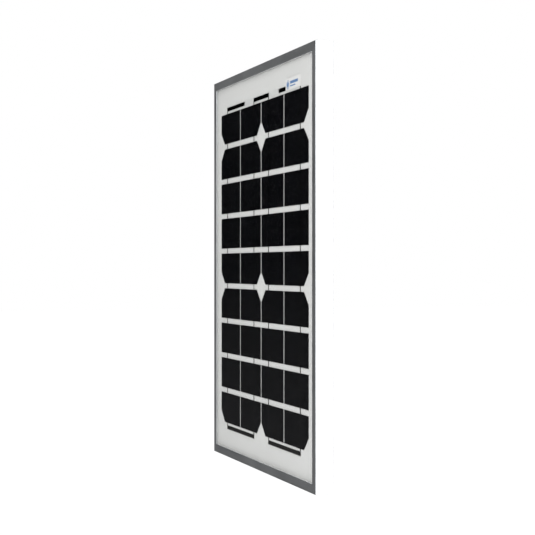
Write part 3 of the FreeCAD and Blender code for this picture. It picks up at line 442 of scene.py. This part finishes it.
def rating_label():
    """Silver-white polyester label, ruled as a blank table."""
    made, n = material("rating_label")
    x = n.coordinate(0)
    z = n.maths("SUBTRACT", n.coordinate(2), mid_height("rating_label"))
    fibre = n.noise(0.6, detail=3)
    film = n.blend(fibre, grey(0.70), grey(0.75))

    def table(inset):
        """1 inside the table's outline, drawn in by inset mm."""
        return n.both(n.band(x, 0, TABLE_HALF_WIDTH - inset, TABLE_SOFTNESS),
                      n.band(z, 0, TABLE_HALF_HEIGHT - inset, TABLE_SOFTNESS))

    inside = table(0)
    border = n.both(inside, n.maths("SUBTRACT", 1.0, table(TABLE_BORDER)))
    rows = n.remap(n.maths("PINGPONG", z, TABLE_ROW / 2), TABLE_ROW_LINE, (1, 0))
    column = n.band(x, TABLE_COLUMN_X, TABLE_COLUMN_HALF_WIDTH, TABLE_SOFTNESS)
    below_head = n.maths("LESS_THAN", z, TABLE_HEAD_Z)
    ruled = n.both(n.both(n.either(rows, column), inside), below_head)
    colour = n.blend(n.either(border, ruled), film, grey(0.06))
    return finish_material(n, made, Base_Color=colour, Roughness=0.35, Normal=n.bump(fibre, 0.01))


def moulded(name, dark, light, rough, grain_size, grain_depth):
    """Moulded plastic with a spark-eroded grain and a little dust in it."""
    made, n = material(name)
    grain = n.noise(grain_size, detail=3)
    dust = n.remap(n.noise(16, detail=6), (0.48, 0.8), (0, 1))
    colour = n.blend(n.both(dust, 0.6), dark, light)
    roughness = n.maths("ADD", n.remap(grain, (0.3, 0.7), (rough - 0.05, rough + 0.05)), n.both(dust, 0.12))
    return finish_material(n, made, Base_Color=colour, Roughness=roughness, Normal=n.bump(grain, grain_depth))


def metal(name, dark, light, rough, size, stretch, depth):
    """Bright or plated metal with fine marks drawn out one way."""
    made, n = material(name)
    marks = n.noise(size, stretch, 4)
    colour = n.blend(marks, dark, light)
    return finish_material(n, made, Base_Color=colour, Metallic=1.0,
                           Roughness=n.remap(marks, (0.3, 0.7), (rough - 0.06, rough + 0.08)),
                           Normal=n.bump(marks, depth))


def diode_epoxy():
    """Black epoxy body with the pale band at its cathode end, on tinned leads."""
    made, n = material("diode_epoxy")
    x = n.coordinate(0)
    pits = n.noise(0.4, detail=3)
    lead = n.maths("GREATER_THAN", n.maths("ABSOLUTE", x), DIODE_HALF_LENGTH)
    body = n.blend(n.band(x, DIODE_BAND_X, DIODE_BAND_HALF_WIDTH, 0.05), grey(0.02), grey(0.55))
    colour = n.blend(lead, body, grey(0.65))
    return finish_material(n, made, Base_Color=colour, Metallic=lead, Roughness=0.38,
                           Normal=n.bump(pits, 0.02))


MATERIALS = {
    "cast_key": cast_key(),
    "silicone_seal": silicone_seal(),
    "solar_glass": solar_glass(),
    "encapsulant": see_through("encapsulant", (0.997, 0.997, 0.995, 1), 1.0),
    "insulation_film": insulation_film(),
    "backsheet_film": backsheet_film(),
    "silicon_cell": silicon_cell(),
    "tinned_ribbon": tinned_ribbon(),
    "tinned_copper": tinned_copper(),
    "box_plastic": moulded("box_plastic", grey(0.017), grey(0.033, 0.03), 0.46, 0.45, 0.035),
    "nut_plastic": moulded("nut_plastic", grey(0.02), grey(0.05, 0.03), 0.4, 0.5, 0.02),
    "gasket_rubber": moulded("gasket_rubber", grey(0.09), grey(0.12), 0.66, 0.7, 0.02),
    "jacket_red": moulded("jacket_red", (0.42, 0.016, 0.012, 1), (0.40, 0.06, 0.05, 1), 0.4, 0.9, 0.02),
    "jacket_black": moulded("jacket_black", grey(0.016), grey(0.045, 0.03), 0.4, 0.9, 0.02),
    "tie_nylon": moulded("tie_nylon", grey(0.62, 0.02), grey(0.7, 0.04), 0.36, 1.6, 0.02),
    "plated_steel": metal("plated_steel", grey(0.58, 0.01), grey(0.7, 0.015), 0.3, 0.3, (1, 3, 1), 0.006),
    "terminal_brass": metal("terminal_brass", (0.74, 0.55, 0.28, 1), (0.79, 0.6, 0.32, 1), 0.32, 0.2,
                            (1, 1, 24), 0.003),
    "copper_wire": metal("copper_wire", (0.72, 0.36, 0.22, 1), (0.85, 0.46, 0.3, 1), 0.32, 0.2,
                         (1, 1, 12), 0.01),
    "diode_epoxy": diode_epoxy(),
}
RAIL_MATERIALS = {"x": anodised_frame(0), "z": anodised_frame(2)}
LABEL_MATERIALS = {"front_label": front_label(), "rating_label": rating_label()}


def node_material(node, slot):
    if node.startswith("frame_rail"):
        return RAIL_MATERIALS["x" if node.endswith(("top", "bottom")) else "z"]
    return LABEL_MATERIALS.get(node) or MATERIALS[slot]


def dress_nodes():
    """Gives every CAD node its material."""
    for subpart in frame["record"]["subparts"]:
        name = subpart["node"]
        mesh = frame["nodes"][name].data
        mesh.materials.clear()
        mesh.materials.append(node_material(name, subpart["material_slot"]))


def weld(node, reach):
    """Joins a node's corners that are within reach mm of each other, and returns its object."""
    modifier = frame["nodes"][node].modifiers.new("weld", "WELD")
    modifier.merge_threshold = reach * MM
    return frame["nodes"][node]


def soften(node, radius):
    """Rounds a node's sharp edges a little, as its making would."""
    part = weld(node, 0.03)
    whole = part.modifiers.new("whole_faces", "DECIMATE")
    whole.decimate_type = "DISSOLVE"
    whole.angle_limit = math.radians(FLAT_WITHIN_DEGREES)
    bevel = part.modifiers.new("soften", "BEVEL")
    bevel.width = radius * MM
    bevel.segments = 2
    bevel.limit_method = "ANGLE"
    bevel.angle_limit = math.radians(SHARP_FROM_DEGREES)
    bevel.use_clamp_overlap = False
    flat = part.modifiers.new("flat_faces", "WEIGHTED_NORMAL")
    flat.weight = 90


def part_layers(node, gap):
    """Draws a bonded layer's faces in by a hair, so that no two layers' faces lie in one plane."""
    shrink = weld(node, 0.002).modifiers.new("part_layers", "DISPLACE")
    shrink.strength = -gap * MM
    shrink.mid_level = 0.0


# Pieces that are too fine or too soft for the CAD model


def add_piece(name, vertices, faces, body, slot):
    """A smooth mesh piece, in millimetres in the CAD frame, that rides on a body."""
    mesh = bpy.data.meshes.new(name)
    mesh.from_pydata([Vector(v) * MM for v in vertices], [], faces)
    mesh.shade_smooth()
    mesh.materials.append(MATERIALS[slot])
    piece = bpy.data.objects.new(name, mesh)
    bpy.context.scene.collection.objects.link(piece)
    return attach(piece, body)


def rounded_loop(half_width, z_range, corner, spacing):
    """Points round a rectangle with round corners, as (x, z, outward x, outward z)."""
    loop = []
    middle_z = sum(z_range) / 2
    half_height = (z_range[1] - z_range[0]) / 2
    for quarter in range(4):
        start = quarter * math.pi / 2
        centre_x = (half_width - corner) * (1 if quarter in (0, 3) else -1)
        centre_z = middle_z + (half_height - corner) * (1 if quarter in (0, 1) else -1)
        for step in range(CORNER_STEPS + 1):
            turn = start + step / CORNER_STEPS * math.pi / 2
            out_x, out_z = math.cos(turn), math.sin(turn)
            loop.append((centre_x + corner * out_x, centre_z + corner * out_z, out_x, out_z))
    filled = []
    for here, after in zip(loop, loop[1:] + loop[:1]):
        gap = math.hypot(after[0] - here[0], after[1] - here[1])
        steps = max(1, round(gap / spacing))
        filled += [tuple(a + (b - a) * k / steps for a, b in zip(here, after)) for k in range(steps)]
    return filled


def bead(name, loop, surface_y, radius, unevenness):
    """A run of silicone along a loop of points: a low round ridge that swells and narrows a little."""
    vertices, faces = [], []
    for x, z, out_x, out_z in loop:
        swell = 1 + unevenness * noise.noise(Vector((x, z, radius)) / BEAD_WAVE)
        shift = unevenness * radius * noise.noise(Vector((z, x, radius)) / BEAD_WAVE)
        for k in range(BEAD_SIDES):
            turn = math.pi * k / (BEAD_SIDES - 1)
            out = math.cos(turn) * radius * swell + shift
            rise = math.sin(turn) * radius * swell * BEAD_FLATNESS
            vertices.append((x + out_x * out, surface_y + rise, z + out_z * out))
    count = len(loop)
    for i in range(count):
        for k in range(BEAD_SIDES):
            near, far = i * BEAD_SIDES, (i + 1) % count * BEAD_SIDES
            k_next = (k + 1) % BEAD_SIDES
            faces.append((near + k, near + k_next, far + k_next, far + k))
    add_piece(name, vertices, faces, "panel", "silicone_seal")


def dome(centre, radius_x, radius_z, height, seed):
    """A frozen drop of solder on a face that looks towards +Y."""
    vertices = [(centre[0], centre[1] + height, centre[2])]
    faces = []
    for ring in range(1, DOME_RINGS + 1):
        share = ring / DOME_RINGS
        for k in range(DOME_SIDES):
            turn = 2 * math.pi * k / DOME_SIDES
            wobble = 1 + SOLDER_WOBBLE * noise.noise(Vector((math.cos(turn), math.sin(turn), seed)))
            x = centre[0] + radius_x * share * wobble * math.cos(turn)
            z = centre[2] + radius_z * share * wobble * math.sin(turn)
            vertices.append((x, centre[1] + height * (1 - share ** 2), z))
    for k in range(DOME_SIDES):
        k_next = (k + 1) % DOME_SIDES
        faces.append((0, 1 + k_next, 1 + k))
        for ring in range(DOME_RINGS - 1):
            inner, outer = 1 + ring * DOME_SIDES, 1 + (ring + 1) * DOME_SIDES
            faces.append((inner + k, inner + k_next, outer + k_next, outer + k))
    last = 1 + (DOME_RINGS - 1) * DOME_SIDES
    faces.append(tuple(last + k for k in range(DOME_SIDES)))
    return vertices, faces


def solder_joints():
    """Solder where the output leads and the diode's feet stand on the terminals."""
    back = box_mm("terminal_plus")[1].y
    drops = [(LEAD_SOLDER, mid_height("output_lead_plus")), (DIODE_SOLDER, mid_height("bypass_diode"))]
    for side, end in ((1, "plus"), (-1, "minus")):
        vertices, faces = [], []
        for number, ((x, radius_x, radius_z, height), z) in enumerate(drops):
            centre = (side * x, back, z)
            drop_vertices, drop_faces = dome(centre, radius_x, radius_z, height, number + side)
            faces += [tuple(i + len(vertices) for i in face) for face in drop_faces]
            vertices += drop_vertices
        add_piece("solder_joints_" + end, vertices, faces, "panel", "tinned_copper")


def raised_bars(name, bars):
    """Moulded bars that stand out of the lid's flat face, given as (x, z, half width, half height)."""
    face_y = box_mm("jbox_lid")[1].y - LID_BORDER_HEIGHT
    corners = len(SQUARE)
    vertices, faces = [], []
    for x, z, half_width, half_height in bars:
        start = len(vertices)
        for rise, inset in BAR_STEPS:
            reach_x, reach_z = half_width - inset, half_height - inset
            for side_x, side_z in SQUARE:
                vertices.append((x + side_x * reach_x, face_y + rise, z + side_z * reach_z))
        top = len(vertices) - corners
        for ring in range(start, top, corners):
            for k in range(corners):
                here, after = ring + k, ring + (k + 1) % corners
                faces.append((here, here + corners, after + corners, after))
        faces.append(tuple(reversed(range(top, top + corners))))
        faces.append(tuple(range(start, start + corners)))
    add_piece(name, vertices, faces, "lid", "box_plastic").data.shade_flat()


def lid_marks():
    """The signs of the two poles by their cables, and grip ridges on the finger tab."""
    edge_z = box_mm("jbox_lid")[0].z
    sign_z = edge_z + SIGN_ABOVE_EDGE
    arm = (SIGN_REACH - SIGN_STROKE) / 2
    raised_bars("mark_plus", [
        (SIGN_X, sign_z, SIGN_REACH, SIGN_STROKE),
        (SIGN_X, sign_z + SIGN_STROKE + arm, SIGN_STROKE, arm),
        (SIGN_X, sign_z - SIGN_STROKE - arm, SIGN_STROKE, arm),
    ])
    raised_bars("mark_minus", [(-SIGN_X, sign_z, SIGN_REACH, SIGN_STROKE)])
    first_ridge = edge_z + RIDGE_ABOVE_EDGE
    raised_bars("tab_ridges", [
        (0.0, first_ridge + RIDGE_PITCH * k, RIDGE_HALF_WIDTH, RIDGE_HALF_HEIGHT) for k in range(RIDGES)
    ])


def build_beads():
    """Silicone squeezed out round the junction box, and along the rails behind the laminate."""
    low, high = box_mm("jbox_adhesive")
    outward = BOX_EDGE_PAST_PAD + BOX_BEAD_GAP
    box_loop = rounded_loop(high.x + outward, (low.z - outward, high.z + outward), BOX_CORNER,
                            BOX_BEAD_SPACING)
    bead("box_bead", box_loop, BACKSHEET_REAR, **BOX_BEAD)
    inward = RAIL_TUBE_WIDTH + RAIL_BEAD_GAP
    rail_x, rail_z = cad_bounds[1].x / MM - inward, cad_bounds[1].z / MM - inward
    rail_loop = rounded_loop(rail_x, (-rail_z, rail_z), RAIL_BEAD_CORNER, RAIL_BEAD_SPACING)
    bead("rail_bead", rail_loop, BACKSHEET_REAR, **RAIL_BEAD)


def build_stage():
    """A plain pale floor under the panel, with only a faint shadow."""
    low = cad_bounds[0].z - FLOOR_CLEARANCE * MM
    mesh = bpy.data.meshes.new("floor")
    corners = [(x * FLOOR_REACH, y * FLOOR_REACH, low) for x, y in SQUARE]
    mesh.from_pydata(corners, [], [(0, 1, 2, 3)])
    floor = bpy.data.objects.new("floor", mesh)
    bpy.context.scene.collection.objects.link(floor)
    made, n = material("floor")
    paint = n.add("BsdfDiffuse", {0: n.blend(n.noise(120), grey(0.86), grey(0.88))})
    glow = n.add("Emission", {0: grey(1.0), 1: FLOOR_GLOW})
    pale = n.add("MixShader", {0: FLOOR_GLOW_SHARE, 1: paint.outputs[0], 2: glow.outputs[0]})
    clear = n.add("BsdfTransparent")
    path = n.add("LightPath").outputs
    mirror_ray = n.either(path["Is Glossy Ray"], path["Is Transmission Ray"])
    n.output(n.add("MixShader", {0: mirror_ray, 1: pale.outputs[0], 2: clear.outputs[0]}).outputs[0])
    mesh.materials.append(made)


def build_world():
    """White to the camera, and a soft studio to everything else, with a dark side for the glass to mirror."""
    world = bpy.data.worlds.new("studio")
    bpy.context.scene.world = world
    world.use_nodes = True
    n = Nodes(world.node_tree)
    way = n.add("TexCoord").outputs["Generated"]
    axes = n.add("SeparateXYZ", {0: way}).outputs

    def near(direction, cosines, levels):
        """Goes from one level to another as the way turns towards a direction, between two cosines."""
        cosine = n.add("VectorMath", {0: way, 1: direction}, operation="DOT_PRODUCT").outputs["Value"]
        return n.remap(cosine, cosines, levels, smooth=True)

    overhead = n.remap(axes[2], (0.2, 0.75), (SIDE_LEVEL, OVERHEAD_LEVEL), smooth=True)
    level = n.either(overhead, near(BRIGHT_SIDE, (0.9, 0.975), (0, BRIGHT_LEVEL)))
    level = n.both(level, near(AHEAD, (0.86, 0.97), (1, AHEAD_SHARE)))
    dark_share = near(DARK_SIDE, (0.74, 0.92), (0, 1))
    dark_level = n.remap(axes[2], (-0.15, 0.0), (DARK_LEVEL_BELOW, 0.0))
    level = n.add("Mix", {0: dark_share, 2: level, 3: dark_level}).outputs[0]
    studio = n.add("Background", {0: grey(1.0), 1: level})
    white = n.add("Background", {0: grey(1.0), 1: 1.0})
    seen = n.add("LightPath").outputs["Is Camera Ray"]
    shown = n.add("MixShader", {0: seen, 1: studio.outputs[0], 2: white.outputs[0]})
    n.output(shown.outputs[0], "OutputWorld")


def softbox(name, place, size, watts, mirrored=True):
    """A square soft lamp that faces the panel's middle. One that isn't mirrored gives matt light only."""
    light = bpy.data.lights.new(name, "AREA")
    light.size = size
    light.energy = watts
    lamp = bpy.data.objects.new(name, light)
    bpy.context.scene.collection.objects.link(lamp)
    lamp.location = place
    lamp.rotation_euler = (-Vector(place)).to_track_quat("-Z", "Y").to_euler()
    lamp.visible_glossy = mirrored
    lamp.visible_transmission = mirrored


def build_lights():
    softbox("key", (1.2, -1.7, 0.8), 1.0, 19)
    softbox("front_fill", (-0.15, -2.2, 0.5), 1.0, 6, mirrored=False)
    softbox("rear_key", (-1.3, 1.5, 1.3), 1.0, 9)


def build_camera():
    """A level camera to the panel's right, that sees the glass at a low angle and the right side wall."""
    camera = bpy.data.cameras.new("camera")
    camera.lens = CAMERA_LENS
    camera.sensor_width = 36.0
    holder = bpy.data.objects.new("camera", camera)
    bpy.context.scene.collection.objects.link(holder)
    turn = math.radians(CAMERA_AZIMUTH)
    back = Vector((math.sin(turn), -math.cos(turn), 0))
    holder.location = (cad_bounds[0] + cad_bounds[1]) / 2 + back * CAMERA_DISTANCE
    holder.rotation_euler = (-back).to_track_quat("-Z", "Y").to_euler()
    bpy.context.scene.camera = holder


dress_nodes()
for radius, names in SOFT_EDGES.items():
    for name in names:
        soften(name, radius)
for name in BONDED_LAYERS:
    part_layers(name, LAYER_GAP)
build_beads()
solder_joints()
lid_marks()
build_stage()
build_world()
build_lights()
build_camera()

scene = bpy.context.scene
scene.view_settings.view_transform = "Standard"
scene.cycles.transparent_max_bounces = 32
